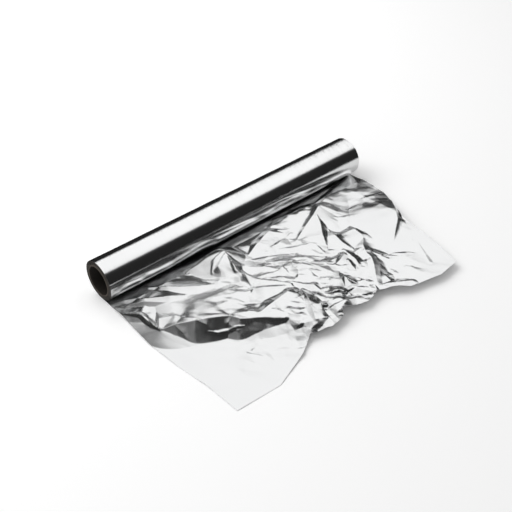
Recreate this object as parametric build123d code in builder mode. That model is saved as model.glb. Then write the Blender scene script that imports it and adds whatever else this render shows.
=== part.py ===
"""A roll of kitchen foil on its card core, lying with a crumpled length pulled out in front of it.

The roll's axis lies along X. The loose sheet leaves the bottom of the roll towards -Y. Z is up.
The origin is the middle of the core's bore. Lengths are in millimetres.
"""

from build123d import *
import math
import os
import random

# Card core
core_bore_radius = 13.5
core_wall = 1.5
core_overhang = 0.5
core_chamfer = 0.3

# Wound foil
foil_width = 300.0
winding_thickness = 4.0
winding_clearance = 0.05
lap_depth = 0.05

# Spiral groove that shows the turns in each end of the winding
groove_width = 0.3
groove_depth = 0.35
groove_margin = 0.3
groove_turns = 3

# Loose sheet
sheet_thickness = 0.3
sheet_length = 178.0
lead_in_length = 9.0
ramp_length = 14.0
fold_height = 24.0
crumple_height = 1.8
cell_size = 5.4

core_outer_radius = core_bore_radius + core_wall
winding_bore_radius = core_outer_radius + winding_clearance
winding_radius = core_outer_radius + winding_thickness
groove_pitch = (winding_thickness - 2 * groove_margin - groove_width) / groove_turns
floor = -winding_radius

# How the sheet's grid is made: vertices within snap_share of a cell from a crest are moved onto it
snap_share = 0.34
jitter_share = 0.15
crumple_seed = 37
columns = round(foil_width / cell_size)
rows = round((sheet_length - lead_in_length) / cell_size)

# How strongly the nearest part of a fold's crest outweighs the rest where the crest bends
crest_blend = 9

# Plan outline of the sheet: how far across its two long edges lie (a share of the width) at each share of the
# run, and how far out the cut edge lies (a share of the run) at each share of the width
near_edge_shares = [(0, -0.5), (0.2, -0.501), (0.42, -0.508), (0.62, -0.5), (0.8, -0.485), (1, -0.48)]
far_edge_shares = [(0, 0.5), (0.16, 0.492), (0.34, 0.478), (0.46, 0.445), (0.58, 0.41), (0.8, 0.4), (1, 0.38)]
cut_edge_shares = [
    (-0.51, 0.985),
    (-0.34, 1.0),
    (-0.22, 0.93),
    (-0.165, 0.875),
    (-0.1, 0.91),
    (-0.045, 0.895),
    (-0.033, 0.86),
    (0, 0.875),
    (0.05, 0.9),
    (0.105, 0.876),
    (0.14, 0.9),
    (0.19, 0.96),
    (0.3, 1.0),
    (0.5, 0.96),
]

# Broad forms of the sheet. A row holds the points of a crest (share of the width across, share of the run out,
# share of the fold height), then how steeply its left and right flanks fall, as rise over run
form_shares = [
    # The steep face that crosses the near half of the sheet, from the near edge to the crumpled middle
    ([(-0.47, 0.43, 0.46), (-0.43, 0.455, 0.54), (-0.385, 0.495, 0.58), (-0.335, 0.545, 0.62), (-0.305, 0.58, 0.62),
      (-0.285, 0.62, 0.58), (-0.225, 0.685, 0.5), (-0.185, 0.74, 0.42)], 0.1, 1.1),
    # The lifted near edge
    ([(-0.5, 0.17, 0.04), (-0.485, 0.21, 0.12), (-0.468, 0.255, 0.23), (-0.47, 0.31, 0.31), (-0.475, 0.37, 0.4),
      (-0.472, 0.43, 0.46)], 0.1, 1.1),
    # The shoulder that rises from the roll, on the near side of the peak
    ([(-0.46, 0.06, 0.06), (-0.4, 0.087, 0.15), (-0.335, 0.142, 0.25), (-0.262, 0.19, 0.35), (-0.223, 0.19, 0.46),
      (-0.188, 0.197, 0.58), (-0.147, 0.222, 0.79)], 0.24, 0.05),
    # The peak close to the roll: its near ridge, and the long ridge that runs down from it
    ([(-0.23, 0.275, 0.33), (-0.212, 0.245, 0.46), (-0.19, 0.222, 0.62), (-0.147, 0.222, 0.79)], 0.6, 0.3),
    ([(-0.147, 0.222, 0.79), (-0.155, 0.285, 0.73), (-0.164, 0.355, 0.65), (-0.158, 0.42, 0.56),
      (-0.133, 0.482, 0.5), (-0.077, 0.58, 0.44)], 0.33, 0.25),
    # The shoulder beyond the peak, in three lengths
    ([(-0.086, 0.27, 0.29), (-0.022, 0.23, 0.38), (0.048, 0.183, 0.35), (0.11, 0.117, 0.29)], 0.4, 0.08),
    ([(0.11, 0.117, 0.29), (0.15, 0.15, 0.38), (0.195, 0.166, 0.42), (0.243, 0.19, 0.42)], 0.35, 0.06),
    ([(0.253, 0.203, 0.42), (0.32, 0.154, 0.33), (0.403, 0.1, 0.25), (0.48, 0.075, 0.12)], 0.4, 0.08),
    # The smooth far side
    ([(0.405, 0.12, 0.21), (0.408, 0.285, 0.33), (0.404, 0.423, 0.46), (0.402, 0.54, 0.5)], 0.1, 0.12),
    ([(0.467, 0.46, 0.33), (0.4, 0.61, 0.42), (0.35, 0.733, 0.38)], 0.3, 0.1),
    ([(0.29, 0.685, 0.29), (0.263, 0.795, 0.33), (0.256, 0.9, 0.29)], 0.08, 0.12),
    # The crumpled middle and front
    ([(-0.18, 0.408, 0.33), (-0.115, 0.507, 0.35), (-0.033, 0.572, 0.42), (0.023, 0.685, 0.42),
      (0.08, 0.728, 0.42)], 0.1, 0.08),
    ([(-0.21, 0.628, 0.46), (-0.157, 0.724, 0.46), (-0.08, 0.78, 0.42), (-0.018, 0.81, 0.38)], 0.12, 0.25),
    ([(-0.167, 0.812, 0.33), (-0.136, 0.838, 0.38), (-0.1, 0.862, 0.42), (-0.054, 0.87, 0.38),
      (-0.01, 0.85, 0.33)], 0.2, 0.3),
    # The low front corners
    ([(-0.473, 0.55, 0.08), (-0.383, 0.646, 0.1), (-0.25, 0.787, 0.15), (-0.15, 0.855, 0.21)], 0.03, 0.04),
    ([(0.14, 0.87, 0.29), (0.166, 0.907, 0.33), (0.21, 0.94, 0.29)], 0.3, 0.2),
    ([(0.367, 0.73, 0.38), (0.317, 0.9, 0.29)], 0.2, 0.2),
]

# Sharper folds that stand on those forms, in the same terms, with heights above the form
fold_shares = [
    # The two folds that fan out from the near end, and the wedge at the near edge
    ([(-0.406, 0.105, 0.02), (-0.368, 0.143, 0.07), (-0.327, 0.214, 0.12), (-0.284, 0.28, 0.12),
      (-0.238, 0.33, 0.04)], 0.33, 0.25),
    ([(-0.488, 0.068, 0.03), (-0.462, 0.114, 0.1), (-0.422, 0.187, 0.17), (-0.38, 0.25, 0.16), (-0.33, 0.3, 0.09),
      (-0.293, 0.337, 0.02)], 0.24, 0.2),
    ([(-0.43, 0.31, 0.02), (-0.45, 0.36, 0.13), (-0.468, 0.413, 0.04)], 0.12, 0.8),
    # On and round the peak
    ([(-0.151, 0.23, 0.04), (-0.195, 0.242, 0.12), (-0.219, 0.275, 0.04)], 0.25, 0.9),
    ([(-0.155, 0.255, 0.08), (-0.17, 0.288, 0.17), (-0.188, 0.32, 0.04)], 1.0, 0.6),
    ([(-0.151, 0.262, 0.04), (-0.158, 0.306, 0.1), (-0.168, 0.356, 0.04)], 0.3, 0.9),
    ([(-0.242, 0.267, 0.02), (-0.22, 0.33, 0.1), (-0.188, 0.38, 0.04)], 0.5, 0.15),
    ([(-0.205, 0.253, 0.02), (-0.2, 0.304, 0.1), (-0.173, 0.312, 0.04)], 0.5, 0.25),
    ([(-0.15, 0.365, 0.02), (-0.156, 0.407, 0.12), (-0.164, 0.458, 0.04)], 0.3, 0.9),
    ([(-0.186, 0.467, 0.04), (-0.16, 0.506, 0.15), (-0.123, 0.536, 0.12), (-0.085, 0.574, 0.06)], 0.33, 0.1),
    # Folds between the middle and the far side
    ([(0.08, 0.34, 0.02), (0.14, 0.3, 0.12), (0.194, 0.267, 0.17), (0.243, 0.22, 0.12)], 0.5, 0.15),
    ([(0.207, 0.275, 0.17), (0.178, 0.348, 0.21), (0.149, 0.42, 0.19), (0.12, 0.504, 0.02)], 0.75, 0.25),
    ([(0.19, 0.38, 0.04), (0.174, 0.458, 0.12), (0.168, 0.526, 0.12), (0.173, 0.603, 0.04)], 0.5, 0.2),
    ([(0.155, 0.555, 0.04), (0.127, 0.635, 0.19), (0.114, 0.69, 0.19), (0.108, 0.736, 0.04)], 0.9, 0.3),
    ([(0.147, 0.617, 0.06), (0.13, 0.684, 0.17), (0.12, 0.734, 0.06)], 0.9, 0.5),
    ([(0.077, 0.622, 0.02), (0.1, 0.622, 0.12), (0.137, 0.6, 0.12)], 0.7, 0.3),
    # The sharp crest that closes the crumpled middle, with its arms
    ([(0.287, 0.506, 0.04), (0.243, 0.56, 0.17), (0.202, 0.628, 0.25), (0.18, 0.693, 0.25), (0.158, 0.775, 0.25),
      (0.132, 0.83, 0.21), (0.133, 0.878, 0.08)], 0.8, 0.3),
    ([(0.154, 0.628, 0.04), (0.176, 0.625, 0.12), (0.197, 0.632, 0.21)], 0.6, 0.3),
    ([(0.258, 0.416, 0.02), (0.25, 0.48, 0.1), (0.243, 0.54, 0.12)], 0.4, 0.15),
    # The fold along the far edge
    ([(0.449, 0.438, 0.04), (0.417, 0.51, 0.12), (0.38, 0.586, 0.15), (0.34, 0.633, 0.12),
      (0.294, 0.684, 0.02)], 0.9, 0.05),
    # Crumples of the front edge
    ([(0.065, 0.683, 0.04), (0.053, 0.742, 0.21), (0.06, 0.773, 0.15), (0.073, 0.806, 0.04)], 0.8, 0.6),
    ([(0.053, 0.742, 0.21), (0.03, 0.773, 0.12), (0.019, 0.807, 0.02)], 0.8, 0.5),
    ([(-0.03, 0.75, 0.04), (-0.016, 0.783, 0.15), (0.003, 0.805, 0.21), (0.006, 0.822, 0.12)], 0.25, 2.2),
    ([(-0.07, 0.835, 0.02), (-0.046, 0.84, 0.12), (-0.017, 0.845, 0.17), (0.02, 0.864, 0.08)], 0.6, 0.3),
    ([(-0.194, 0.64, 0.02), (-0.156, 0.638, 0.12), (-0.113, 0.63, 0.12)], 0.6, 0.2),
    ([(-0.08, 0.675, 0.17), (-0.09, 0.735, 0.23), (-0.1, 0.786, 0.19), (-0.116, 0.83, 0.04)], 0.8, 0.35),
    ([(-0.137, 0.744, 0.02), (-0.12, 0.732, 0.12), (-0.096, 0.718, 0.17)], 0.7, 0.5),
    ([(-0.075, 0.778, 0.04), (-0.073, 0.808, 0.12), (-0.063, 0.825, 0.06)], 0.3, 1.8),
    ([(-0.214, 0.637, 0.04), (-0.19, 0.684, 0.1), (-0.164, 0.738, 0.1), (-0.138, 0.76, 0.02)], 0.5, 0.3),
    ([(-0.108, 0.607, 0.04), (-0.062, 0.624, 0.12), (-0.045, 0.677, 0.17), (-0.033, 0.725, 0.08)], 0.35, 0.25),
]

# Where the sheet is crumpled: centre across and out, how far that reaches across and out, and how strongly, all
# as shares, and the least crumple elsewhere
crumpled_shares = [
    (0.03, 0.62, 0.26, 0.36, 1.0),
    (-0.16, 0.42, 0.06, 0.14, 0.7),
    (0.15, 0.3, 0.16, 0.22, 0.6),
    (-0.27, 0.8, 0.12, 0.12, 0.6),
]
crumple_least_share = 0.12
crumple_edge_share = 1.6
crumple_fall_share = 1.2


def along(points, place):
    """Height of a broken line through points at place."""
    for (x0, y0), (x1, y1) in zip(points, points[1:]):
        if place <= x1:
            return y0 + (y1 - y0) * max(0, place - x0) / (x1 - x0)
    return points[-1][1]


def crest(row):
    """A row of shares as a fold in lengths: the segments of its crest, and the slopes of its two flanks."""
    points, left_slope, right_slope = row
    spots = [(across * foil_width, -out * sheet_length, rise * fold_height) for across, out, rise in points]
    return list(zip(spots, spots[1:])), left_slope, right_slope


def nearest_on(segment, x, y):
    """The nearest point of one crest segment: its distance, its height, which side (x, y) lies on, its place."""
    (x0, y0, z0), (x1, y1, z1) = segment
    dx, dy = x1 - x0, y1 - y0
    share = min(1, max(0, ((x - x0) * dx + (y - y0) * dy) / (dx * dx + dy * dy)))
    px, py = x0 + share * dx, y0 + share * dy
    distance = math.hypot(x - px, y - py)
    across = (dx * (y - y0) - dy * (x - x0)) / math.hypot(dx, dy)
    side = max(-1, min(1, across / distance)) if distance else 0
    return distance, z0 + (z1 - z0) * share, side, (px, py)


def fold(one, x, y):
    """Height of one fold at a point: its crest's height, less the fall of the flank down to the point."""
    segments, left_slope, right_slope = one
    found = [nearest_on(segment, x, y) for segment in segments]
    closest = min(found)
    if not closest[0]:
        return closest[1]
    weights = [(closest[0] / distance) ** crest_blend for distance, _, _, _ in found]
    height = sum(weight * near[1] for weight, near in zip(weights, found)) / sum(weights)
    side = sum(weight * near[2] for weight, near in zip(weights, found)) / sum(weights)
    slope = right_slope + (left_slope - right_slope) * (1 + side) / 2
    return height - slope * closest[0]


forms = [crest(row) for row in form_shares]
folds = [crest(row) for row in fold_shares]
crests = [segment for segments, _, _ in forms + folds for segment in segments]
dice = random.Random(crumple_seed)


def lift(x, y):
    """How far the folds alone carry the sheet off the floor at a point of the plan."""
    return sum(max(0, max(fold(one, x, y) for one in group)) for group in (forms, folds))


def crumple_strength(x, y):
    """How crumpled the sheet is at a point of the plan, from the least share up to 1."""
    strength = crumple_least_share
    for centre_across, centre_out, reach_across, reach_out, most in crumpled_shares:
        across = (x / foil_width - centre_across) / reach_across
        out = (-y / sheet_length - centre_out) / reach_out
        share = crumple_edge_share - crumple_fall_share * math.hypot(across, out)
        strength = max(strength, most * min(1, share))
    return strength


def plan_point(column, row):
    """Place in plan of a grid vertex: inside vertices are jittered, then those near a crest are moved onto it."""
    out_share = row / rows
    across = along(near_edge_shares, out_share), along(far_edge_shares, out_share)
    x = foil_width * (across[0] + (across[1] - across[0]) * column / columns)
    run = sheet_length * along(cut_edge_shares, x / foil_width)
    y = -lead_in_length - (run - lead_in_length) * out_share
    if row == 0:
        return foil_width * (column / columns - 0.5), -lead_in_length
    if 0 < column < columns and row < rows:
        x += cell_size * jitter_share * dice.uniform(-1, 1)
        y += cell_size * jitter_share * dice.uniform(-1, 1)
        distance, _, _, place = min(nearest_on(segment, x, y) for segment in crests)
        if distance < snap_share * cell_size:
            return place
    return x, y


def grid_vertex(column, row):
    """A vertex of the sheet's underside."""
    x, y = plan_point(column, row)
    if row == 0:
        return Vector(x, y, floor)
    loose = min(1, (-y - lead_in_length) / ramp_length)
    bump = crumple_height * crumple_strength(x, y) * dice.uniform(-1, 1)
    return Vector(x, y, floor + loose * max(0, lift(x, y) + bump))


under = [[grid_vertex(column, row) for column in range(columns + 1)] for row in range(rows + 1)]


def outward(column, row):
    """Unit normal of the sheet at a vertex, from its neighbours. The first row faces straight up."""
    if row == 0:
        return Vector(0, 0, 1)
    west, east = under[row][max(0, column - 1)], under[row][min(columns, column + 1)]
    back, front = under[row - 1][column], under[min(rows, row + 1)][column]
    return (east - west).cross(back - front).normalized()


over = [
    [under[row][column] + outward(column, row) * sheet_thickness for column in range(columns + 1)]
    for row in range(rows + 1)
]


def triangle(*corners):
    """A flat three-sided face."""
    return Face(Wire.make_polygon(corners, close=True))


def split_quad(a, b, c, d, by_ac):
    """Two triangles for a four-sided cell, parted along a-c or along b-d."""
    if by_ac:
        return [triangle(a, b, c), triangle(a, c, d)]
    return [triangle(a, b, d), triangle(b, c, d)]


def cell_faces(column, row):
    """Upper and lower triangles of one cell, parted the way that follows the folds better."""
    corners = [(row, column), (row, column + 1), (row + 1, column + 1), (row + 1, column)]
    low = [under[r][c] for r, c in corners]
    high = [over[r][c] for r, c in corners]
    middle = sum(low, Vector()) / 4
    wanted = floor + lift(middle.X, middle.Y)
    by_ac = abs((low[0].Z + low[2].Z) / 2 - wanted) < abs((low[1].Z + low[3].Z) / 2 - wanted)
    return split_quad(*high, by_ac) + split_quad(*low, by_ac)


def rim_faces():
    """The thin wall round the sheet's four edges."""
    ring = [(0, column) for column in range(columns)]
    ring += [(row, columns) for row in range(rows)]
    ring += [(rows, column) for column in range(columns, 0, -1)]
    ring += [(row, 0) for row in range(rows, 0, -1)]
    walls = []
    for (r0, c0), (r1, c1) in zip(ring, ring[1:] + ring[:1]):
        walls += split_quad(under[r0][c0], under[r1][c1], over[r1][c1], over[r0][c0], True)
    return walls


sheet_faces = [face for row in range(rows) for column in range(columns) for face in cell_faces(column, row)]
loose_sheet = Solid(Shell(sheet_faces + rim_faces()))

# Core: a plain card tube, a little longer than the foil is wide
core_length = foil_width + 2 * core_overhang
with BuildPart() as core_tube:
    with BuildSketch(Plane.YZ.offset(-core_length / 2)):
        Circle(core_outer_radius)
        Circle(core_bore_radius, mode=Mode.SUBTRACT)
    extrude(amount=core_length)
    chamfer(core_tube.edges().filter_by(GeomType.CIRCLE), core_chamfer)
core_tube.part.label = "core_tube"

# Winding: its outline is a one-turn spiral of two half circles that runs out into the flat start of the sheet
top_z = winding_radius - sheet_thickness / 2
front_low_z = floor + sheet_thickness - lap_depth
front_radius = (top_z - front_low_z) / 2
front_centre_z = (top_z + front_low_z) / 2
back_centre_z = (top_z + floor) / 2
back_radius = (top_z - floor) / 2
leave_y = -math.sqrt(2 * front_radius * lap_depth - lap_depth**2)
leave = (leave_y, floor + sheet_thickness)


def spiral_line(first_radius, half_turns):
    """Points of a spiral made of half circles: for each, its start, its middle and its end."""
    line = []
    radius, centre, side = first_radius, 0.0, 1
    for _ in range(half_turns):
        line.append(((0, centre - side * radius), (side * radius, centre), (0, centre + side * radius)))
        centre -= side * groove_pitch / 2
        radius += groove_pitch / 2
        side = -side
    return line


with BuildPart() as foil:
    with BuildSketch(Plane.YZ.offset(-foil_width / 2)):
        with BuildLine():
            Polyline((0, floor), (-lead_in_length, floor), (-lead_in_length, floor + sheet_thickness), leave)
            ThreePointArc(leave, (-front_radius, front_centre_z), (0, top_z))
            ThreePointArc((0, top_z), (back_radius, back_centre_z), (0, floor))
        make_face()
        Circle(winding_bore_radius, mode=Mode.SUBTRACT)
    extrude(amount=foil_width)
    for end_x, inward in ((-foil_width / 2, 1), (foil_width / 2, -1)):
        with BuildSketch(Plane.YZ.offset(end_x)):
            with BuildLine():
                first_radius = winding_bore_radius + groove_margin
                inner = spiral_line(first_radius, 2 * groove_turns)
                outer = spiral_line(first_radius + groove_width, 2 * groove_turns)
                for arc in inner + outer:
                    ThreePointArc(*arc)
                Line(inner[0][0], outer[0][0])
                Line(inner[-1][2], outer[-1][2])
            make_face()
        extrude(amount=inward * groove_depth, mode=Mode.SUBTRACT)
    add(loose_sheet)
foil.part.label = "foil"

os.makedirs("parts", exist_ok=True)
export_step(core_tube.part, "parts/core_tube.step")
export_step(foil.part, "parts/foil.step")
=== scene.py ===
"""A roll of kitchen foil on its card core, lying with a crumpled length pulled out from under it.

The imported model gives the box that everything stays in. This script builds the winding and the loose
sheet as fine meshes inside it, finishes the card core, and sets up the floor, the studio and the camera
of the photograph. Lengths are in metres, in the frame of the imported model: the origin is the middle of
the core's bore, X runs along the roll, the sheet leaves towards -Y and Z is up.
"""

from __future__ import annotations

import logging
import math
from dataclasses import dataclass
from enum import Enum
from typing import Any

import bpy
import numpy as np
from mathutils import Matrix, Vector
from mathutils.bvhtree import BVHTree
from mathutils.geometry import delaunay_2d_cdt


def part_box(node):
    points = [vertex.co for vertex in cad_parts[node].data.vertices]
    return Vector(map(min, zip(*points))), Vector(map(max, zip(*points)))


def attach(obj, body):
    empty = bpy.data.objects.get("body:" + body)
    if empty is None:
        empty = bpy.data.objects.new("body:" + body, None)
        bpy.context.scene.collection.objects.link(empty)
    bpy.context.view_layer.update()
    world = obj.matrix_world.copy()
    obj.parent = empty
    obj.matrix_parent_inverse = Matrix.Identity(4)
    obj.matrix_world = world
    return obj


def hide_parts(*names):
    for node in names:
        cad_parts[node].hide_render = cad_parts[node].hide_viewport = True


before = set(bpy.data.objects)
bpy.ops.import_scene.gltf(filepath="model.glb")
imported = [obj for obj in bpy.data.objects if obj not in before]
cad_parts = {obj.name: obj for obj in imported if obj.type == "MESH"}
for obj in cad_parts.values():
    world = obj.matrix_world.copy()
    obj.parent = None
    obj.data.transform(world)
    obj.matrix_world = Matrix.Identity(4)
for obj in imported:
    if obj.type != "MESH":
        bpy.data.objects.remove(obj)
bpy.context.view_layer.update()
LOG = logging.getLogger("foil_roll")

MM = 0.001
# Keeps the distance from a crest above zero
TINY = 1e-7
# Points of a crumple that are nearer than this are one
MERGE_DISTANCE = 1e-9
Colour = tuple[float, float, float, float]

# The roll and its sheet
FOIL_WIDTH = 0.3
SHEET_REACH = 0.178
WINDING_BORE = 0.01505
WINDING_INSET = 0.0001

# The camera, whose focal length is in pixels of the square photograph
PICTURE_PIXELS = 512
FOCAL_PIXELS = 884
CAMERA_PITCH = 39.0
CAMERA_YAW = 41.13
CAMERA_PLACE = (-0.4255, -0.5194)
CAMERA_HEIGHT = 0.5097
SENSOR_WIDTH = 36.0

# Tones of the softbox along the roll and from its front edge to its back, by share
SOFTBOX_ALONG = [(0.0, 0.02), (0.2, 0.05), (0.32, 0.16), (0.42, 0.44), (0.48, 0.76), (0.54, 0.97),
                 (0.6, 1.0), (0.76, 1.0), (0.82, 0.88), (0.9, 0.45), (1.0, 0.1)]
SOFTBOX_ACROSS = [(0.0, 0.72), (0.055, 0.88), (0.15, 1.0), (0.78, 1.0), (0.86, 0.8), (0.94, 0.45),
                  (1.0, 0.12)]
# Tones of the black flag in front, by height
FLAG_TONES = [(-0.02, 0.016), (0.35, 0.018), (0.6, 0.035), (0.8, 0.12), (1.0, 0.4)]


class Side(Enum):
    """Which face of the foil a surface shows."""

    BRIGHT = "bright"
    SATIN = "satin"


def grey(tone: float) -> Colour:
    """An opaque grey."""
    return (tone, tone, tone, 1.0)


def darker(colour: Colour, share: float) -> Colour:
    """A colour at a share of its brightness."""
    return tuple(share * part for part in colour[:3]) + (1.0,)


class Value:
    """A socket of a shader. Python's operators on it add Math nodes."""

    def __init__(self, shader: Shader, socket: bpy.types.NodeSocket) -> None:
        """Wraps a socket.

        Args:
            shader: The shader that the socket belongs to.
            socket: The output socket.
        """
        self.shader = shader
        self.socket = socket

    def __add__(self, other: Any) -> Value:
        """self + other."""
        return self.shader.math("ADD", self, other)

    def __radd__(self, other: Any) -> Value:
        """other + self."""
        return self.shader.math("ADD", other, self)

    def __sub__(self, other: Any) -> Value:
        """self - other."""
        return self.shader.math("SUBTRACT", self, other)

    def __rsub__(self, other: Any) -> Value:
        """other - self."""
        return self.shader.math("SUBTRACT", other, self)

    def __mul__(self, other: Any) -> Value:
        """self * other."""
        return self.shader.math("MULTIPLY", self, other)

    def __rmul__(self, other: Any) -> Value:
        """other * self."""
        return self.shader.math("MULTIPLY", other, self)

    def __truediv__(self, other: Any) -> Value:
        """self / other."""
        return self.shader.math("DIVIDE", self, other)

    def __rtruediv__(self, other: Any) -> Value:
        """other / self."""
        return self.shader.math("DIVIDE", other, self)


class Outputs:
    """The outputs of one node, looked up by name or number."""

    def __init__(self, shader: Shader, made: bpy.types.Node) -> None:
        """Wraps a node.

        Args:
            shader: The shader that the node belongs to.
            made: The node.
        """
        self.shader = shader
        self.made = made

    def __getitem__(self, name: str | int) -> Value:
        """One output socket."""
        return Value(self.shader, self.made.outputs[name])


class Shader:
    """Builds the node tree of one material or world."""

    def __init__(self, owner: bpy.types.Material | bpy.types.World) -> None:
        """Starts an empty tree.

        Args:
            owner: The material or world.
        """
        owner.use_nodes = True
        self.tree = owner.node_tree
        self.tree.nodes.clear()

    def node(self, kind: str, settings: dict[str, Any] | None = None,
             inputs: dict[str | int, Any] | None = None) -> Outputs:
        """Adds a node of any kind.

        Args:
            kind: The node's type, such as "ShaderNodeTexNoise".
            settings: Properties, which are set first. "stops" holds a colour ramp's (place, colour) pairs.
            inputs: Values or links of the input sockets, by name or number.

        Returns:
            The node's outputs.
        """
        made = self.tree.nodes.new(kind)
        for name, value in (settings or {}).items():
            if name == "stops":
                self._set_stops(made.color_ramp, value)
            else:
                setattr(made, name, value)
        for name, value in (inputs or {}).items():
            if isinstance(value, Value):
                self.tree.links.new(value.socket, made.inputs[name])
            else:
                made.inputs[name].default_value = value
        return Outputs(self, made)

    @staticmethod
    def _set_stops(ramp: bpy.types.ColorRamp, stops: list[tuple[float, Colour]]) -> None:
        """Gives a colour ramp its stops.

        Args:
            ramp: The ramp, which has two stops of its own.
            stops: Places and colours, from the first to the last.
        """
        while len(ramp.elements) < len(stops):
            ramp.elements.new(1.0)
        for element, (place, colour) in zip(ramp.elements, stops):
            element.position = place
            element.color = colour

    def math(self, operation: str, *operands: Any) -> Value:
        """Adds one Math node.

        Args:
            operation: The node's operation, such as "SQRT".
            operands: The values or numbers of its inputs, in order.

        Returns:
            The node's result.
        """
        return self.node("ShaderNodeMath", {"operation": operation}, dict(enumerate(operands)))["Value"]

    def mix(self, factor: Any, first: Any, second: Any, blend: str = "MIX") -> Value:
        """Mixes two colours.

        Args:
            factor: The share of the second colour.
            first: The first colour.
            second: The second colour.
            blend: The node's blend type.

        Returns:
            The mixed colour.
        """
        settings = {"data_type": "RGBA", "blend_type": blend}
        # The node's colour sockets share their names with others, so they go by number.
        return self.node("ShaderNodeMix", settings, {"Factor": factor, 6: first, 7: second})[2]

    def ramp(self, share: Value, tones: list[tuple[float, float]]) -> Value:
        """A grey that follows a share from 0 to 1.

        Args:
            share: The share.
            tones: Shares and their tones, from the first to the last.

        Returns:
            The grey.
        """
        stops = [(place, grey(tone)) for place, tone in tones]
        return self.node("ShaderNodeValToRGB", {"stops": stops}, {"Fac": share})["Color"]

    def place(self) -> Value:
        """The place on the object, in the frame."""
        return self.node("ShaderNodeTexCoord")["Object"]

    def parts(self, vector: Value) -> Outputs:
        """The X, Y and Z of a vector."""
        return self.node("ShaderNodeSeparateXYZ", {}, {"Vector": vector})

    def noise(self, place: Value, scale: float, detail: float) -> Value:
        """Noise in three dimensions, from 0 to 1."""
        inputs = {"Vector": place, "Scale": scale, "Detail": detail}
        return self.node("ShaderNodeTexNoise", {}, inputs)["Fac"]

    def bump(self, height: Value, strength: float, distance: float) -> Value:
        """A normal that follows a height."""
        inputs = {"Height": height, "Strength": strength, "Distance": distance}
        return self.node("ShaderNodeBump", {}, inputs)["Normal"]

    def surface(self, inputs: dict[str, Any]) -> None:
        """Ends a material with a Principled surface.

        Args:
            inputs: Values or links of the surface's inputs, by name.
        """
        surface = self.node("ShaderNodeBsdfPrincipled", {}, inputs)["BSDF"]
        self.node("ShaderNodeOutputMaterial", {}, {"Surface": surface})

    def glow(self, colour: Any) -> None:
        """Ends a material with a plain glow of a colour."""
        glow = self.node("ShaderNodeEmission", {}, {"Color": colour, "Strength": 1.0})["Emission"]
        self.node("ShaderNodeOutputMaterial", {}, {"Surface": glow})


@dataclass(frozen=True)
class FoilFinish:
    """Bare rolled aluminium, with fine streaks around the roll and a slightly cloudy gloss."""

    side: Side
    colour: Colour = (0.955, 0.96, 0.962, 1.0)
    roughness: float = 0.09
    metallic: float = 1.0
    cloud_scale: float = 40.0
    cloud_share: float = 0.3
    streak_scale: float = 900.0
    streak_stretch: float = 0.02
    streak_strength: float = 0.05
    streak_height: float = 0.0002

    def material(self) -> bpy.types.Material:
        """Builds the material.

        Returns:
            The finished material.
        """
        made = bpy.data.materials.new(f"foil_{self.side.value}")
        shader = Shader(made)
        place = shader.place()
        stretch = (1.0, self.streak_stretch, self.streak_stretch)
        stretched = shader.node("ShaderNodeMapping", {}, {"Vector": place, "Scale": stretch})["Vector"]
        streaks = shader.noise(stretched, self.streak_scale, 2.0)
        cloud = shader.noise(place, self.cloud_scale, 3.0)
        shader.surface({
            "Base Color": self.colour,
            "Metallic": self.metallic,
            "Roughness": self.roughness * (1 - self.cloud_share / 2 + self.cloud_share * cloud),
            "Normal": shader.bump(streaks, self.streak_strength, self.streak_height)})
        return made


@dataclass(frozen=True)
class EndFinish:
    """The edges of the turns of foil at an end of the winding."""

    colour: Colour = (0.14, 0.128, 0.116, 1.0)
    roughness: float = 0.55
    metallic: float = 0.3
    dark_share: float = 0.5
    turn_scale: float = 2500.0
    turn_strength: float = 0.4
    turn_height: float = 0.0003

    def material(self) -> bpy.types.Material:
        """Builds the material.

        Returns:
            The finished material.
        """
        made = bpy.data.materials.new("foil_turn_edges")
        shader = Shader(made)
        place = shader.parts(shader.place())
        radius = shader.math("SQRT", place["Y"] * place["Y"] + place["Z"] * place["Z"])
        turns = shader.node("ShaderNodeTexNoise", {"noise_dimensions": "1D"},
                            {"W": radius, "Scale": self.turn_scale, "Detail": 2.0})["Fac"]
        shader.surface({
            "Base Color": shader.mix(turns, darker(self.colour, self.dark_share), self.colour),
            "Metallic": self.metallic,
            "Roughness": self.roughness,
            "Normal": shader.bump(turns, self.turn_strength, self.turn_height)})
        return made


@dataclass(frozen=True)
class CardFinish:
    """Grey-brown wound board of the core, with painted shade that darkens it inside its bore."""

    colour: Colour = (0.12, 0.1, 0.082, 1.0)
    roughness: float = 0.9
    fibre_scale: float = 900.0
    fibre_strength: float = 0.3
    fibre_height: float = 0.0002
    dark_share: float = 0.7
    # Share of the board's brightness kept in the painted shade inside the bore
    bore_shade_share: float = 0.25
    bore_radius: float = 0.0137

    def material(self) -> bpy.types.Material:
        """Builds the material.

        Returns:
            The finished material.
        """
        made = bpy.data.materials.new("core_card")
        shader = Shader(made)
        fibre = shader.noise(shader.place(), self.fibre_scale, 4.0)
        board = shader.mix(fibre, darker(self.colour, self.dark_share), self.colour)
        place = shader.parts(shader.place())
        square = place["Y"] * place["Y"] + place["Z"] * place["Z"]
        # Painted shade: the board inside the bore is coloured darker to stand for the shade in the tube
        in_bore_shade = shader.math("LESS_THAN", square, self.bore_radius ** 2)
        shader.surface({
            "Base Color": shader.mix(in_bore_shade, board, darker(self.colour, self.bore_shade_share)),
            "Roughness": self.roughness,
            "Normal": shader.bump(fibre, self.fibre_strength, self.fibre_height)})
        return made


def mesh_object(name: str, vertices: np.ndarray, faces: np.ndarray) -> bpy.types.Object:
    """Makes a mesh object and links it to the scene.

    Args:
        name: The object's name.
        vertices: Vertex places, one row each.
        faces: Vertex numbers of the faces, one row each.

    Returns:
        The object.
    """
    mesh = bpy.data.meshes.new(name)
    mesh.from_pydata(vertices.tolist(), [], faces.tolist())
    mesh.update()
    made = bpy.data.objects.new(name, mesh)
    bpy.context.scene.collection.objects.link(made)
    return made


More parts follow.
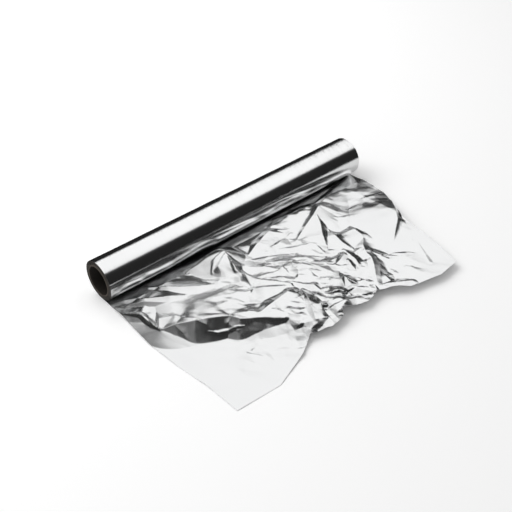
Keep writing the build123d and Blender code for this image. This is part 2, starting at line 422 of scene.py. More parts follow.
def bake(made: bpy.types.Object) -> None:
    """Replaces an object's mesh by what its modifiers make of it.

    Args:
        made: The object, left with no modifiers.
    """
    graph = bpy.context.evaluated_depsgraph_get()
    made.data = bpy.data.meshes.new_from_object(made.evaluated_get(graph))
    made.modifiers.clear()


def smooth(made: bpy.types.Object, crease_angle: float) -> None:
    """Shades a mesh smooth, with sharp edges from an angle in degrees up."""
    made.data.polygons.foreach_set("use_smooth", [True] * len(made.data.polygons))
    made.data.set_sharp_from_angle(angle=math.radians(crease_angle))


def grid_faces(rows: int, columns: int) -> np.ndarray:
    """Four-sided faces of a grid of rows by columns vertices, numbered row by row."""
    first = (np.arange(rows - 1)[:, None] * columns + np.arange(columns - 1)[None, :]).ravel()
    return np.stack([first, first + 1, first + columns + 1, first + columns], axis=1)


@dataclass(frozen=True)
class Fold:
    """A fold of the sheet: a crest with a flank on either side of it.

    Each point of the crest has its place across the sheet, as a share of the width from the middle, its
    place out from the roll, as a share of the reach, and its height in millimetres. The left and right
    flanks are as seen along the crest, and their slopes are height over distance.
    """

    crest: list[tuple[float, float, float]]
    left: float
    right: float


@dataclass(frozen=True)
class Patch:
    """A crumpled patch of the sheet. Its middle and its reach are shares of the width and the reach."""

    across: float
    out: float
    reach_across: float
    reach_out: float
    share: float


@dataclass(frozen=True)
class Crumple:
    """A layer of random flat facets, parted by sharp creases.

    Attributes:
        seed: Seed of the random draws.
        spacing: Usual distance between the corners of the facets.
        height: Most that a corner moves up or down.
        stretch: How much longer than wide the facets are.
        turn: Direction that they are stretched in, in radians from the roll's axis.
        jitter: Share of the spacing by which a corner leaves its regular place.
    """

    seed: int
    spacing: float
    height: float
    stretch: float = 1.7
    turn: float = -0.75
    jitter: float = 0.48

    def heights(self, x: np.ndarray, y: np.ndarray) -> np.ndarray:
        """Heights of the facets over the plan.

        Args:
            x: Places along the roll.
            y: Places out from the roll.

        Returns:
            The heights, from -height to height.
        """
        dice = np.random.default_rng(self.seed)
        cos, sin = math.cos(self.turn), math.sin(self.turn)
        along, over = x * cos + y * sin, (y * cos - x * sin) * self.stretch
        margin = 3 * self.spacing
        pitch = self.spacing * self.stretch ** 0.5
        spots = [np.arange(axis.min() - margin, axis.max() + margin, pitch) for axis in (along, over)]
        grid = np.stack(np.meshgrid(*spots), axis=-1).reshape(-1, 2)
        grid += dice.uniform(-self.jitter, self.jitter, grid.shape) * self.spacing * self.stretch ** 0.5
        points, _, faces, *_ = delaunay_2d_cdt([Vector(spot) for spot in grid], [], [], 0, MERGE_DISTANCE)
        levels = dice.uniform(-1, 1, len(points)) * self.height
        tree = BVHTree.FromPolygons([(*point, level) for point, level in zip(points, levels)], faces)
        down = Vector((0, 0, -1))
        found = [tree.ray_cast(Vector((a, b, 1)), down)[0].z for a, b in zip(along.ravel(), over.ravel())]
        return np.array(found).reshape(x.shape)


# Broad folds with flat flanks, which give the sheet its main form
BASE_FOLDS = {
    "big face": Fold(
        [(-0.465, 0.41, 7), (-0.425, 0.445, 11), (-0.385, 0.495, 13.5), (-0.335, 0.54, 14),
         (-0.3, 0.57, 13.5), (-0.285, 0.615, 13), (-0.225, 0.685, 12), (-0.185, 0.74, 10)],
        0.075, 0.87),
    "near edge": Fold(
        [(-0.5, 0.175, 2.2), (-0.485, 0.215, 3.6), (-0.47, 0.255, 5.4), (-0.465, 0.3, 5.8),
         (-0.47, 0.355, 6.3), (-0.465, 0.41, 7)], 0.04, 0.52),
    "left plain": Fold([(-0.47, 0.145, 3.2), (-0.43, 0.205, 6), (-0.39, 0.28, 8)], 0.05, 0.45),
    "shoulder left": Fold(
        [(-0.455, 0.055, 1), (-0.395, 0.08, 2.5), (-0.33, 0.135, 4.5), (-0.255, 0.18, 6.5),
         (-0.22, 0.18, 9), (-0.185, 0.185, 12)], 0.24, 0.06),
    "peak left": Fold(
        [(-0.23, 0.275, 8), (-0.21, 0.245, 10.5), (-0.185, 0.215, 13.5), (-0.14, 0.21, 17)], 0.6, 0.45),
    "peak right": Fold(
        [(-0.14, 0.21, 17), (-0.15, 0.275, 15.5), (-0.16, 0.345, 13.5), (-0.155, 0.41, 12),
         (-0.13, 0.475, 11), (-0.075, 0.58, 10)], 0.65, 0.25),
    "mid fold": Fold(
        [(-0.085, 0.27, 7), (-0.02, 0.23, 9), (0.05, 0.185, 8.5), (0.11, 0.115, 7)], 0.4, 0.08),
    "shoulder mid": Fold(
        [(0.11, 0.115, 7), (0.15, 0.15, 9), (0.195, 0.165, 10), (0.245, 0.19, 10)], 0.35, 0.06),
    "shoulder right": Fold(
        [(0.255, 0.205, 10), (0.32, 0.155, 8), (0.405, 0.1, 6), (0.48, 0.075, 3)], 0.4, 0.08),
    "far swell": Fold(
        [(0.405, 0.12, 5), (0.41, 0.285, 8), (0.405, 0.425, 11), (0.4, 0.54, 12)], 0.05, 0.1),
    "middle swell": Fold(
        [(-0.415, 0.205, 3), (-0.32, 0.315, 5), (-0.18, 0.41, 8), (-0.115, 0.505, 8.5),
         (-0.03, 0.57, 9.5), (0.025, 0.68, 9.5), (0.08, 0.725, 9.5)], 0.03, 0.12),
    "front swell": Fold(
        [(-0.17, 0.68, 10.5), (-0.135, 0.755, 10.5), (-0.08, 0.78, 10), (-0.02, 0.81, 9)], 0.04, 0.25),
    "far margin": Fold([(0.465, 0.46, 8), (0.4, 0.61, 10), (0.35, 0.735, 9)], 0.3, 0.1),
    "right plain": Fold([(0.29, 0.685, 7), (0.265, 0.795, 8), (0.255, 0.9, 7)], 0.04, 0.1),
    "front hem": Fold(
        [(-0.165, 0.81, 8), (-0.135, 0.84, 9), (-0.1, 0.86, 9.5), (-0.055, 0.87, 9), (-0.01, 0.85, 8)],
        0.06, 0.35),
    "bottom plain": Fold(
        [(-0.475, 0.55, 0.6), (-0.385, 0.645, 0.8), (-0.25, 0.785, 1.5), (-0.15, 0.855, 3.5)],
        0.02, 0.03),
    "right front": Fold([(0.14, 0.87, 7), (0.165, 0.905, 8), (0.21, 0.94, 7)], 0.3, 0.2),
    "hidden right": Fold([(0.365, 0.73, 9), (0.315, 0.9, 7)], 0.2, 0.2),
}

# Sharper folds that lie on the broad ones
FOLDS = {
    "fan one": Fold(
        [(-0.385, 0.1, 0.6), (-0.36, 0.165, 1.4), (-0.325, 0.235, 1.9), (-0.285, 0.295, 1.9),
         (-0.24, 0.335, 0.8)], 0.25, 0.3),
    "fan two": Fold(
        [(-0.475, 0.08, 0.8), (-0.45, 0.125, 1.6), (-0.425, 0.19, 2.2), (-0.38, 0.25, 1.8),
         (-0.335, 0.305, 0.5)], 0.16, 0.3),
    "fan two lip": Fold(
        [(-0.475, 0.08, 0.4), (-0.45, 0.125, 0.9), (-0.425, 0.19, 1.5), (-0.38, 0.25, 1.4),
         (-0.335, 0.305, 0.6)], 0.24, 0.3),
    "near crest": Fold(
        [(-0.505, 0.155, 0.4), (-0.485, 0.215, 1.1), (-0.47, 0.26, 1.7), (-0.47, 0.305, 1.9),
         (-0.47, 0.36, 1.8), (-0.465, 0.41, 1)], 0.5, 1.1),
    "near wedge": Fold([(-0.43, 0.3, 0.3), (-0.445, 0.35, 2), (-0.465, 0.4, 0.6)], 0.25, 0.9),
    "under peak": Fold([(-0.24, 0.285, 0.4), (-0.225, 0.335, 1.8), (-0.2, 0.375, 0.6)], 0.26, 0.3),
    "under peak two": Fold([(-0.21, 0.27, 0.4), (-0.2, 0.305, 1.6), (-0.175, 0.315, 0.5)], 0.28, 0.3),
    "sliver": Fold([(-0.14, 0.345, 0.5), (-0.16, 0.415, 3), (-0.165, 0.46, 1)], 0.3, 0.9),
    "low wedge": Fold(
        [(-0.185, 0.48, 0.4), (-0.175, 0.5, 3), (-0.15, 0.53, 4.2), (-0.125, 0.56, 3.8),
         (-0.085, 0.585, 1.6)], 0.3, 0.3),
    "right fold": Fold(
        [(0.08, 0.34, 0.5), (0.145, 0.295, 3), (0.195, 0.265, 4), (0.245, 0.22, 3)], 0.5, 0.15),
    "streak one": Fold(
        [(0.21, 0.27, 3.5), (0.185, 0.34, 4.5), (0.155, 0.405, 4), (0.125, 0.495, 0.5)], 0.6, 0.22),
    "streak two": Fold(
        [(0.195, 0.37, 1), (0.185, 0.445, 2.5), (0.175, 0.515, 2.5), (0.18, 0.595, 1)], 0.32, 0.2),
    "lower twin": Fold(
        [(0.14, 0.595, 0.5), (0.125, 0.64, 2.2), (0.11, 0.695, 2.6), (0.11, 0.73, 1)], 0.3, 0.35),
    "upper twin": Fold(
        [(0.16, 0.54, 0.8), (0.15, 0.6, 2.2), (0.145, 0.66, 2.4), (0.135, 0.695, 2.2),
         (0.115, 0.73, 1)], 0.3, 0.35),
    "left of twin": Fold([(0.075, 0.625, 0.8), (0.1, 0.62, 2.6), (0.135, 0.595, 2.6)], 0.36, 0.25),
    "valley wall": Fold(
        [(0.285, 0.51, 0.8), (0.25, 0.545, 1.8), (0.215, 0.6, 2.4), (0.195, 0.65, 2.6),
         (0.19, 0.695, 2.6), (0.17, 0.745, 2.8), (0.14, 0.805, 2.6), (0.12, 0.85, 1.2)], 0.3, 0.3),
    "valley left arm": Fold([(0.165, 0.63, 0.8), (0.185, 0.61, 1.8), (0.215, 0.61, 2)], 0.33, 0.3),
    "top of valley": Fold([(0.26, 0.41, 0.5), (0.255, 0.475, 2.5), (0.25, 0.53, 3)], 0.4, 0.15),
    "far edge fold": Fold(
        [(0.45, 0.435, 1), (0.415, 0.515, 3), (0.38, 0.585, 3.5), (0.345, 0.625, 3), (0.3, 0.68, 0.5)],
        0.9, 0.05),
    "pyramid": Fold(
        [(0.07, 0.675, 0.6), (0.06, 0.725, 3), (0.065, 0.76, 2.8), (0.075, 0.795, 1)], 0.33, 1),
    "pyramid foot": Fold([(0.06, 0.725, 3), (0.035, 0.77, 2.4), (0.025, 0.8, 0.5)], 0.35, 0.9),
    "black wedge": Fold(
        [(-0.025, 0.735, 0.6), (-0.01, 0.76, 2.6), (0.01, 0.775, 3.6), (0.015, 0.795, 3.4),
         (0.015, 0.8, 0.8)], 0.15, 1.2),
    "corner band": Fold(
        [(-0.065, 0.83, 1), (-0.045, 0.835, 3.2), (-0.015, 0.84, 3.8), (0.03, 0.855, 2)], 0.33, 0.3),
    "long line": Fold([(-0.22, 0.645, 1), (-0.165, 0.635, 3.4), (-0.11, 0.625, 3.2)], 0.34, 0.3),
    "thick band": Fold(
        [(-0.065, 0.645, 1), (-0.085, 0.72, 3), (-0.105, 0.785, 3.6), (-0.125, 0.84, 2.4)], 0.3, 0.5),
    "thick band left": Fold([(-0.135, 0.745, 0.3), (-0.115, 0.725, 1), (-0.09, 0.705, 1)], 0.3, 0.3),
    "small black": Fold([(-0.075, 0.765, 0.6), (-0.07, 0.795, 2.4), (-0.055, 0.81, 1)], 0.32, 1),
    "peak fold one": Fold([(-0.15, 0.205, 0.6), (-0.185, 0.22, 2), (-0.215, 0.265, 1)], 0.3, 0.95),
    "peak fold two": Fold(
        [(-0.145, 0.225, 0.8), (-0.175, 0.255, 3.2), (-0.195, 0.27, 3.4), (-0.21, 0.265, 0.8)],
        0.3, 1.1),
    "peak fold three": Fold([(-0.145, 0.245, 1), (-0.155, 0.3, 2.5), (-0.165, 0.345, 1)], 0.3, 0.9),
    "face facet one": Fold([(-0.43, 0.45, 0.2), (-0.425, 0.49, 0.7), (-0.425, 0.515, 0.3)], 0.2, 0.25),
    "face facet two": Fold([(-0.38, 0.5, 0.3), (-0.365, 0.54, 0.9), (-0.355, 0.59, 0.3)], 0.3, 0.2),
    "face facet three": Fold([(-0.295, 0.585, 0.3), (-0.315, 0.59, 0.7), (-0.305, 0.645, 0.3)], 0.2, 0.3),
    "face ledge": Fold(
        [(-0.38, 0.545, 0.2), (-0.35, 0.595, 1.5), (-0.31, 0.625, 1.6), (-0.285, 0.65, 0.3)],
        0.95, 1.2),
    "front row": Fold(
        [(-0.2, 0.635, 0.6), (-0.185, 0.675, 2), (-0.165, 0.735, 2), (-0.145, 0.775, 0.6)], 0.32, 0.3),
    "centre crest": Fold(
        [(-0.095, 0.54, 0.4), (-0.065, 0.57, 1.2), (-0.045, 0.62, 0.8), (-0.025, 0.655, 1.2),
         (-0.025, 0.705, 0.6)], 0.33, 0.2),
    "centre line": Fold([(-0.025, 0.7, 0.3), (-0.005, 0.72, 1.2), (0.02, 0.74, 0.4)], 0.3, 0.12),
    "upper slit": Fold([(0.125, 0.4, 0.3), (0.11, 0.435, 1), (0.105, 0.505, 0.3)], 0.3, 0.25),
}

# Smaller creases between the folds
CREASES = {
    "crease on far swell": Fold([(0.395, 0.3, 0.1), (0.43, 0.335, 1.1), (0.48, 0.345, 0.3)], 0.35, 0.06),
    "faint crease": Fold([(0.31, 0.315, 0.1), (0.355, 0.34, 0.5), (0.395, 0.36, 0.1)], 0.15, 0.04),
    "short crease": Fold([(0.255, 0.33, 0.2), (0.275, 0.365, 0.9), (0.305, 0.37, 0.1)], 0.4, 0.08),
    "slanting crease": Fold([(-0.03, 0.305, 0.2), (0.025, 0.3, 1.3), (0.095, 0.275, 0.3)], 0.5, 0.15),
    "short line": Fold([(0.025, 0.39, 0.1), (0.035, 0.43, 0.5), (0.055, 0.465, 0.1)], 0.4, 0.08),
    "line past the slit": Fold([(0.06, 0.49, 0.1), (0.085, 0.525, 0.5), (0.125, 0.57, 0.3)], 0.33, 0.08),
    "middle line right": Fold([(0.03, 0.51, 0.3), (0.05, 0.565, 1.5), (0.08, 0.63, 1.2)], 0.28, 0.3),
    "middle line left": Fold([(-0.045, 0.42, 0.8), (-0.04, 0.46, 2.6), (-0.02, 0.475, 1)], 0.27, 0.4),
    "middle line": Fold(
        [(-0.01, 0.465, 1.2), (0, 0.515, 2.6), (0.015, 0.565, 2.2), (0.035, 0.6, 0.5)], 0.28, 0.4),
    "line past the valley": Fold([(0.21, 0.645, 0.6), (0.22, 0.7, 1.3), (0.26, 0.76, 0.2)], 0.33, 0.1),
    "line by the wedge": Fold([(-0.21, 0.43, 0.2), (-0.195, 0.445, 0.5), (-0.18, 0.455, 0.2)], 0.3, 0.1),
    "line on the big face": Fold(
        [(-0.405, 0.39, 0.1), (-0.39, 0.455, 0.2), (-0.37, 0.505, 0.1)], 0.12, 0.06),
}

CRUMPLED = [
    Patch(0.0, 0.66, 0.28, 0.38, 1.0), Patch(-0.16, 0.42, 0.06, 0.14, 0.7),
    Patch(0.15, 0.3, 0.16, 0.22, 0.6), Patch(-0.27, 0.8, 0.12, 0.12, 0.6),
    Patch(-0.32, 0.57, 0.17, 0.09, 0.2)]
CRUSHED = [
    Patch(-0.1, 0.83, 0.11, 0.11, 1.0), Patch(-0.03, 0.84, 0.08, 0.08, 1.0),
    Patch(0.15, 0.87, 0.11, 0.08, 0.7), Patch(-0.17, 0.42, 0.06, 0.07, 0.4),
    Patch(-0.02, 0.7, 0.08, 0.08, 0.3), Patch(0.42, 0.62, 0.06, 0.06, 0.5)]
CRUMPLE_LAYERS = [Crumple(3, 0.015, 0.0019), Crumple(8, 0.0085, 0.0016), Crumple(21, 0.0036, 0.0002)]
CRUSH_LAYER = Crumple(13, 0.0062, 0.0013, 1.3)

# Edges of the sheet: the near and far ones along its reach, and the front one across its width
NEAR_EDGE = [(0, -0.5), (0.2, -0.501), (0.42, -0.508), (0.62, -0.5), (0.8, -0.485), (1, -0.48)]
FAR_EDGE = [(0, 0.5), (0.16, 0.492), (0.34, 0.478), (0.46, 0.445), (0.58, 0.41), (0.8, 0.4), (1, 0.38)]
FRONT_EDGE = [(-0.51, 0.985), (-0.34, 1.0), (-0.22, 0.93), (-0.164, 0.875), (-0.1, 0.91),
              (-0.045, 0.895), (-0.033, 0.86), (0, 0.875), (0.05, 0.9), (0.105, 0.876), (0.14, 0.9),
              (0.19, 0.96), (0.3, 1.0), (0.5, 0.96)]


@dataclass
class LooseSheet:
    """The crumpled length of foil that lies in front of the roll.

    Attributes:
        width: Width of the foil.
        reach: How far the sheet reaches out from under the roll's axis.
        floor: Height of the floor.
        material: Material of both sides.
        thickness: Thickness of the foil.
        rest_gap: Gap between the floor and the upper side of the flat foil.
        lead: Distance from under the axis to where the sheet starts.
        ramp_start: Distance out at which the sheet starts to lift off the floor.
        ramp_length: Distance over which it reaches its full height.
        step: Distance between vertices before the flat parts are simplified.
        kept_share: Share of the faces that is kept.
        crease_angle: Least angle of a crease, in degrees.
        least_crumple: Strength of the crumpling between the crumpled patches.
        patch_level: Strength at the middle of a patch, which is cut off at 1.
        patch_fall: How much the strength falls over a patch's reach.
        calmed_share: Share of the crumpling that is taken off high folds, so that their faces stay flat.
        calming_height: Height of a fold at which all of that share is taken off.
        blend: How strongly the nearest stretch of a bent crest outweighs the others.
        hollow: How hollow the flanks of a hollow fold are, where 1 is flat.
    """

    width: float
    reach: float
    floor: float
    material: bpy.types.Material
    thickness: float = 0.00012
    rest_gap: float = 0.0002
    lead: float = 0.001
    ramp_start: float = 0.005
    ramp_length: float = 0.023
    step: float = 0.0007
    kept_share: float = 0.42
    crease_angle: float = 6.0
    least_crumple: float = 0.12
    patch_level: float = 1.6
    patch_fall: float = 1.2
    calmed_share: float = 0.85
    calming_height: float = 0.0014
    blend: float = 9.0
    hollow: float = 1.5

    def fold_height(self, fold: Fold, hollow: bool, x: np.ndarray, y: np.ndarray) -> np.ndarray:
        """Height of one fold over the plan.

        Args:
            fold: The fold.
            hollow: Whether its flanks run out smoothly at their feet instead of being flat.
            x: Places along the roll.
            y: Places out from the roll.

        Returns:
            Its height, negative beyond the feet of flat flanks.
        """
        stretches = []
        for (x0, out0, rise0), (x1, out1, rise1) in zip(fold.crest, fold.crest[1:]):
            ax, ay, bx, by = x0 * self.width, -out0 * self.reach, x1 * self.width, -out1 * self.reach
            dx, dy = bx - ax, by - ay
            share = np.clip(((x - ax) * dx + (y - ay) * dy) / (dx * dx + dy * dy), 0, 1)
            away = np.hypot(x - ax - share * dx, y - ay - share * dy) + TINY
            across = (dx * (y - ay) - dy * (x - ax)) / math.hypot(dx, dy)
            stretches.append((away, rise0 + (rise1 - rise0) * share, np.clip(across / away, -1, 1)))
        away, rise, side = (np.array(values) for values in zip(*stretches))
        nearest = away.min(axis=0)
        weight = (nearest / away) ** self.blend
        rise = (weight * rise).sum(axis=0) / weight.sum(axis=0) * MM
        side = (weight * side).sum(axis=0) / weight.sum(axis=0)
        slope = fold.right + (fold.left - fold.right) * (1 + side) / 2
        if not hollow:
            return rise - slope * nearest
        return rise * np.clip(1 - slope * nearest / (self.hollow * rise), 0, 1) ** self.hollow

    def highest(self, folds: dict[str, Fold], hollow: bool, x: np.ndarray, y: np.ndarray) -> np.ndarray:
        """Height of the highest of some folds over the plan, and 0 where there is none."""
        heights = [self.fold_height(fold, hollow, x, y) for fold in folds.values()]
        return np.maximum(0, np.max(heights, axis=0))

    def strength(self, patches: list[Patch], least: float, x: np.ndarray,
                 y: np.ndarray) -> np.ndarray:
        """How crumpled the sheet is over the plan, from 0 to 1.

        Args:
            patches: The crumpled patches.
            least: The share between the patches.
            x: Places along the roll.
            y: Places out from the roll.

        Returns:
            The share at each place.
        """
        total = np.full(x.shape, least)
        for patch in patches:
            away = np.hypot((x / self.width - patch.across) / patch.reach_across,
                            (-y / self.reach - patch.out) / patch.reach_out)
            inside = np.clip(self.patch_level - self.patch_fall * away, 0, 1)
            total = np.maximum(total, patch.share * inside)
        return total

    def lift(self, x: np.ndarray, y: np.ndarray) -> np.ndarray:
        """Height of the sheet above the floor over the plan.

        Args:
            x: Places along the roll.
            y: Places out from the roll.

        Returns:
            The height, where the sheet has left the roll.
        """
        base = self.highest(BASE_FOLDS, False, x, y)
        folds = self.highest(FOLDS, True, x, y)
        creases = self.highest(CREASES, True, x, y)
        total = base + folds + creases
        calm = 1 - self.calmed_share * np.clip(folds / self.calming_height, 0, 1)
        strength = self.strength(CRUMPLED, self.least_crumple, x, y) * calm
        for layer in CRUMPLE_LAYERS:
            total += strength * layer.heights(x, y)
        total += self.strength(CRUSHED, 0, x, y) * calm * CRUSH_LAYER.heights(x, y)
        return np.maximum(total, 0)

    def surface(self) -> tuple[np.ndarray, np.ndarray]:
        """Works out the sheet's upper surface.

        Returns:
            The places of its vertices, and the faces.
        """
        columns, rows = round(self.width / self.step), round(self.reach / self.step)
        across = np.linspace(0, 1, columns + 1)[None, :]
        out = np.linspace(0, 1, rows + 1)[:, None]
        near = np.interp(out, *zip(*NEAR_EDGE))
        far = np.interp(out, *zip(*FAR_EDGE))
        x = self.width * (near + (far - near) * across)
        reach = self.reach * np.interp(x / self.width, *zip(*FRONT_EDGE))
        y = -self.lead - (reach - self.lead) * out
        x = x + 0 * y
        loose = np.clip((-y - self.ramp_start) / self.ramp_length, 0, 1)
        z = self.floor + self.rest_gap + loose * self.lift(x, y)
        return np.stack([x, y, z], axis=-1).reshape(-1, 3), grid_faces(rows + 1, columns + 1)

    def build(self) -> bpy.types.Object:
        """Builds and dresses the sheet.

        Returns:
            The sheet's object.
        """
        made = mesh_object("loose_sheet", *self.surface())
        fewer = made.modifiers.new("fewer_faces", "DECIMATE")
        fewer.ratio = self.kept_share
        solid = made.modifiers.new("thickness", "SOLIDIFY")
        solid.thickness = self.thickness
        solid.offset = -1
        bake(made)
        smooth(made, self.crease_angle)
        made.data.materials.append(self.material)
        return made


@dataclass
class Winding:
    """The wound foil on its core.

    Attributes:
        width: Width of the foil.
        radius: Outer radius.
        bore: Radius of the hole for the core.
        side_material: Material of the barrel.
        end_material: Material of both ends.
        around: Number of vertices around the axis.
        along: Number of rings of vertices along the barrel.
        end_rings: Number of rings on an end, from the rim to the core.
        turn_inset: How far every other ring is set in.
        wave_height: Height of each of the barrel's two waves.
        short_wave: Wave number of the shorter one, in radians a metre.
        short_wave_swing: How far it swings around the barrel, in radians.
        long_wave: Wave number of the longer one.
        long_wave_shift: Its phase, in radians.
        crease_angle: Least angle of a sharp edge, in degrees.
    """

    width: float
    radius: float
    bore: float
    side_material: bpy.types.Material
    end_material: bpy.types.Material
    around: int = 240
    along: int = 160
    end_rings: int = 14
    turn_inset: float = 0.0004
    wave_height: float = 0.00003
    short_wave: float = 260.0
    short_wave_swing: float = 1.3
    long_wave: float = 97.0
    long_wave_shift: float = 2.1
    crease_angle: float = 30.0

    def angles(self) -> np.ndarray:
        """Angles of the vertices around the axis."""
        return np.linspace(0, 2 * math.pi, self.around, endpoint=False)

    def barrel(self) -> tuple[np.ndarray, np.ndarray]:
        """Works out the outer surface, which waves a little as tightly wound foil does.

        Returns:
            The places of its vertices, ring by ring from the near end, and the faces.
        """
        angle = self.angles()[None, :]
        x = np.linspace(-self.width / 2, self.width / 2, self.along)[:, None]
        short = np.sin(x * self.short_wave + self.short_wave_swing * np.sin(angle))
        long = np.sin(x * self.long_wave + self.long_wave_shift + angle)
        radius = self.radius + self.wave_height * (short + long)
        vertices = np.stack([x + 0 * angle, radius * np.cos(angle), radius * np.sin(angle)], axis=-1)
        start = np.arange(self.along - 1)[:, None] * self.around
        first = start + np.arange(self.around)[None, :]
        after = start + (np.arange(self.around)[None, :] + 1) % self.around
        faces = np.stack([first, after, after + self.around, first + self.around], axis=-1)
        return vertices.reshape(-1, 3), faces.reshape(-1, 4)[:, ::-1]

    def end(self, side: int, rim: int, count: int) -> tuple[list[np.ndarray], list[np.ndarray]]:
        """Works out one end, whose rings stand for the edges of the turns.

        Args:
            side: -1 for the near end and 1 for the far end.
            rim: The number of the first vertex of the barrel's rim there.
            count: How many vertices there are before this end.

        Returns:
            The places of the vertices and the faces, ring by ring inwards.
        """
        angle = self.angles()
        vertices, faces = [], []
        outer = rim + np.arange(self.around)
        for ring in range(1, self.end_rings + 1):
            radius = self.radius + (self.bore - self.radius) * (ring / self.end_rings)
            inset = self.turn_inset if ring % 2 and ring < self.end_rings else 0
            x = np.full(self.around, side * (self.width / 2 - inset))
            vertices.append(np.stack([x, radius * np.cos(angle), radius * np.sin(angle)], axis=-1))
            inner = count + (ring - 1) * self.around + np.arange(self.around)
            quads = np.stack([outer, np.roll(outer, -1), np.roll(inner, -1), inner], axis=-1)
            faces.append(quads if side < 0 else quads[:, ::-1])
            outer = inner
        return vertices, faces

    def build(self) -> bpy.types.Object:
        """Builds and dresses the winding.

        Returns:
            The winding's object.
        """
        barrel, sides = self.barrel()
        vertices, faces = [barrel], [sides]
        last_rim = (self.along - 1) * self.around
        for side, rim in ((-1, 0), (1, last_rim)):
            rings, quads = self.end(side, rim, sum(len(part) for part in vertices))
            vertices += rings
            faces += quads
        made = mesh_object("winding", np.concatenate(vertices), np.concatenate(faces))
        smooth(made, self.crease_angle)
        is_end = np.ones(len(made.data.polygons), dtype=np.int32)
        is_end[:len(sides)] = 0
        made.data.materials.append(self.side_material)
        made.data.materials.append(self.end_material)
        made.data.polygons.foreach_set("material_index", is_end)
        return made


@dataclass
class Core:
    """The card core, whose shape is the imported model's own."""

    material: bpy.types.Material

    def dress(self) -> bpy.types.Object:
        """Gives the core its material.

        Returns:
            The core's object.
        """
        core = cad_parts["core_tube"]
        core.data.materials.clear()
        core.data.materials.append(self.material)
        return core


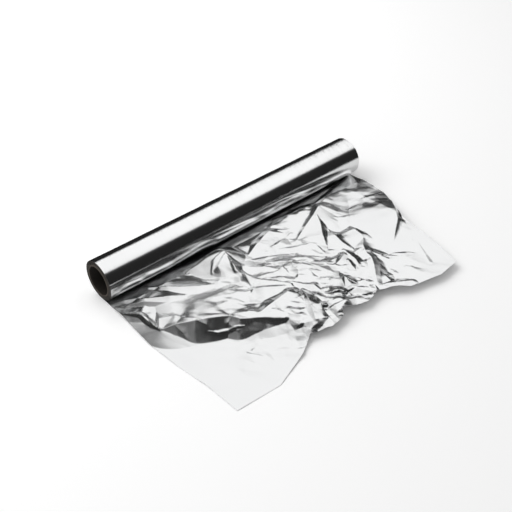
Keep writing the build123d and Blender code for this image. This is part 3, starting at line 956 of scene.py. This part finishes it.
@dataclass
class Studio:
    """The floor, the tent of cards around it, the light and the camera."""

    floor: float
    floor_reach: float = 6.0
    floor_tone: float = 0.88
    floor_tone_in_view: float = 1.24
    world_strength: float = 0.45
    black: float = 0.016
    card_gap: float = 0.0004
    tent_reach: float = 3.0
    softbox_reach: float = 2.2
    softbox_height: float = 1.0
    softbox_front: float = -0.547
    softbox_back: float = 1.73
    rear_flag_gap: float = 0.01
    front_flag_foot: float = -0.26
    front_flag_top: float = -0.56
    rear_cloth_front: float = 0.024
    lamp_place: tuple[float, float, float] = (-0.35, 0.9, 1.1)
    lamp_size: tuple[float, float] = (1.6, 1.0)
    lamp_power: float = 14.0

    def softbox_material(self) -> bpy.types.Material:
        """A glow that is white in the middle and falls off to the edges.

        Returns:
            The finished material.
        """
        made = bpy.data.materials.new("softbox_face")
        shader = Shader(made)
        place = shader.parts(shader.place())
        along = (place["X"] + self.softbox_reach) / (2 * self.softbox_reach)
        across = (place["Y"] - self.softbox_front) / (self.softbox_back - self.softbox_front)
        tones = [shader.ramp(along, SOFTBOX_ALONG), shader.ramp(across, SOFTBOX_ACROSS)]
        shader.glow(shader.mix(1.0, *tones, "MULTIPLY"))
        return made

    def flag_material(self) -> bpy.types.Material:
        """Black, with a faint glow at its top from the softbox.

        Returns:
            The finished material.
        """
        made = bpy.data.materials.new("front_flag")
        shader = Shader(made)
        low, high = FLAG_TONES[0][0], FLAG_TONES[-1][0]
        share = (shader.parts(shader.place())["Z"] - low) / (high - low)
        tones = [((height - low) / (high - low), tone) for height, tone in FLAG_TONES]
        shader.glow(shader.ramp(share, tones))
        return made

    def black_material(self) -> bpy.types.Material:
        """Black cloth.

        Returns:
            The finished material.
        """
        made = bpy.data.materials.new("black_tent")
        Shader(made).glow(grey(self.black))
        return made

    def card(self, name: str, corners: list[tuple[float, float, float]],
             material: bpy.types.Material) -> None:
        """Adds a flat card that only reflections see.

        Args:
            name: The card's name.
            corners: Its four corners, in order around it.
            material: Its material.
        """
        made = mesh_object(name, np.array(corners), np.array([[0, 1, 2, 3]]))
        made.data.materials.append(material)
        made.visible_camera = made.visible_diffuse = made.visible_shadow = False
        made.visible_transmission = made.visible_volume_scatter = False

    def build_cards(self) -> None:
        """Adds the softbox over the roll, the flags beside it and the black tent around them."""
        low, top, w = self.floor + self.card_gap, self.softbox_height, self.tent_reach
        reach, front, back = self.softbox_reach, self.softbox_front, self.softbox_back
        foot, head, cloth = self.front_flag_foot, self.front_flag_top, self.rear_cloth_front
        behind = back + self.rear_flag_gap
        self.card("softbox",
                  [(-reach, front, top), (reach, front, top), (reach, back, top), (-reach, back, top)],
                  self.softbox_material())
        self.card("front_flag", [(-w, foot, low), (w, foot, low), (w, head, top), (-w, head, top)],
                  self.flag_material())
        black = self.black_material()
        self.card("rear_flag", [(-w, behind, top), (w, behind, top), (w, w, low), (-w, w, low)], black)
        self.card("rear_cloth", [(-w, cloth, low), (w, cloth, low), (w, w, low), (-w, w, low)], black)
        self.card("tent_left", [(-w, -w, low), (-w, w, low), (-w, w, w), (-w, -w, w)], black)
        self.card("tent_right", [(w, -w, low), (w, w, low), (w, w, w), (w, -w, w)], black)
        self.card("tent_front", [(-w, -w, low), (w, -w, low), (w, -w, w), (-w, -w, w)], black)
        self.card("tent_back", [(-w, w, low), (w, w, low), (w, w, w), (-w, w, w)], black)
        self.card("tent_top", [(-w, -w, w), (w, -w, w), (w, w, w), (-w, w, w)], black)

    def build_floor(self) -> None:
        """Adds the floor, which the camera sees as white and which keeps the object's shadow."""
        size, z = self.floor_reach, self.floor
        corners = [(-size, -size, z), (size, -size, z), (size, size, z), (-size, size, z)]
        floor = mesh_object("floor", np.array(corners), np.array([[0, 1, 2, 3]]))
        material = bpy.data.materials.new("floor_white")
        shader = Shader(material)
        seen = shader.node("ShaderNodeLightPath")["Is Camera Ray"]
        tone = self.floor_tone + (self.floor_tone_in_view - self.floor_tone) * seen
        channels = {"Red": tone, "Green": tone, "Blue": tone}
        colour = shader.node("ShaderNodeCombineColor", {}, channels)["Color"]
        surface = shader.node("ShaderNodeBsdfDiffuse", {}, {"Color": colour})["BSDF"]
        shader.node("ShaderNodeOutputMaterial", {}, {"Surface": surface})
        floor.data.materials.append(material)

    def build_world(self) -> None:
        """Adds the world, which is white where it is seen and softer as a light."""
        world = bpy.data.worlds.new("studio")
        bpy.context.scene.world = world
        shader = Shader(world)
        path = shader.node("ShaderNodeLightPath")
        seen = shader.math("MAXIMUM", path["Is Camera Ray"], path["Is Glossy Ray"])
        seen = shader.math("MAXIMUM", seen, path["Is Transmission Ray"])
        strength = self.world_strength + (1 - self.world_strength) * seen
        light = {"Color": grey(1.0), "Strength": strength}
        background = shader.node("ShaderNodeBackground", {}, light)["Background"]
        shader.node("ShaderNodeOutputWorld", {}, {"Surface": background})

    def build_lamp(self) -> None:
        """Adds the lamp behind and above the roll, which casts the shadow towards the camera."""
        lamp = bpy.data.lights.new("key", "AREA")
        lamp.shape = "RECTANGLE"
        lamp.size, lamp.size_y = self.lamp_size
        lamp.energy = self.lamp_power
        key = bpy.data.objects.new("key", lamp)
        bpy.context.scene.collection.objects.link(key)
        key.location = self.lamp_place
        key.rotation_mode = "QUATERNION"
        key.rotation_quaternion = Vector(self.lamp_place).to_track_quat("Z", "Y")
        key.visible_glossy = False

    def build_camera(self) -> None:
        """Adds the camera at the photograph's viewing angle."""
        pitch, yaw = math.radians(CAMERA_PITCH), math.radians(CAMERA_YAW)
        level = math.cos(pitch)
        ahead = Vector((math.sin(yaw) * level, math.cos(yaw) * level, -math.sin(pitch)))
        right = Vector((math.cos(yaw), -math.sin(yaw), 0))
        data = bpy.data.cameras.new("camera")
        data.sensor_width = SENSOR_WIDTH
        data.lens = FOCAL_PIXELS / PICTURE_PIXELS * SENSOR_WIDTH
        camera = bpy.data.objects.new("camera", data)
        placed = Matrix((right, right.cross(ahead), -ahead)).transposed().to_4x4()
        placed.translation = Vector((*CAMERA_PLACE, self.floor + CAMERA_HEIGHT))
        camera.matrix_world = placed
        bpy.context.scene.collection.objects.link(camera)
        bpy.context.scene.camera = camera

    def build(self) -> None:
        """Sets up the floor, the world, the cards, the lamp and the camera."""
        self.build_floor()
        self.build_world()
        self.build_cards()
        self.build_lamp()
        self.build_camera()


def report(piece: bpy.types.Object) -> None:
    """Logs a piece's triangles and area.

    Args:
        piece: The piece.
    """
    triangles = sum(len(face.vertices) - 2 for face in piece.data.polygons)
    area = sum(face.area for face in piece.data.polygons)
    LOG.info("%s has %d triangles, %.4f square metres", piece.name, triangles, area)


def main() -> None:
    """Builds the whole scene."""
    logging.basicConfig(level=logging.INFO, format="%(name)s: %(message)s")
    floor = float(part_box("foil")[0][2])
    bright = FoilFinish(Side.BRIGHT, streak_scale=2200.0, streak_strength=0.75).material()
    satin = FoilFinish(Side.SATIN, (0.88, 0.885, 0.888, 1.0), roughness=0.18, metallic=0.98).material()
    edges = EndFinish().material()
    winding = Winding(FOIL_WIDTH, -floor - WINDING_INSET, WINDING_BORE, bright, edges).build()
    sheet = LooseSheet(FOIL_WIDTH, SHEET_REACH, floor, satin).build()
    for piece in (winding, sheet):
        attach(piece, "root")
        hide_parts("foil")
        report(piece)
    report(Core(CardFinish().material()).dress())
    Studio(floor).build()
    bpy.context.scene.view_settings.view_transform = "Standard"


if __name__ == "__main__":
    main()
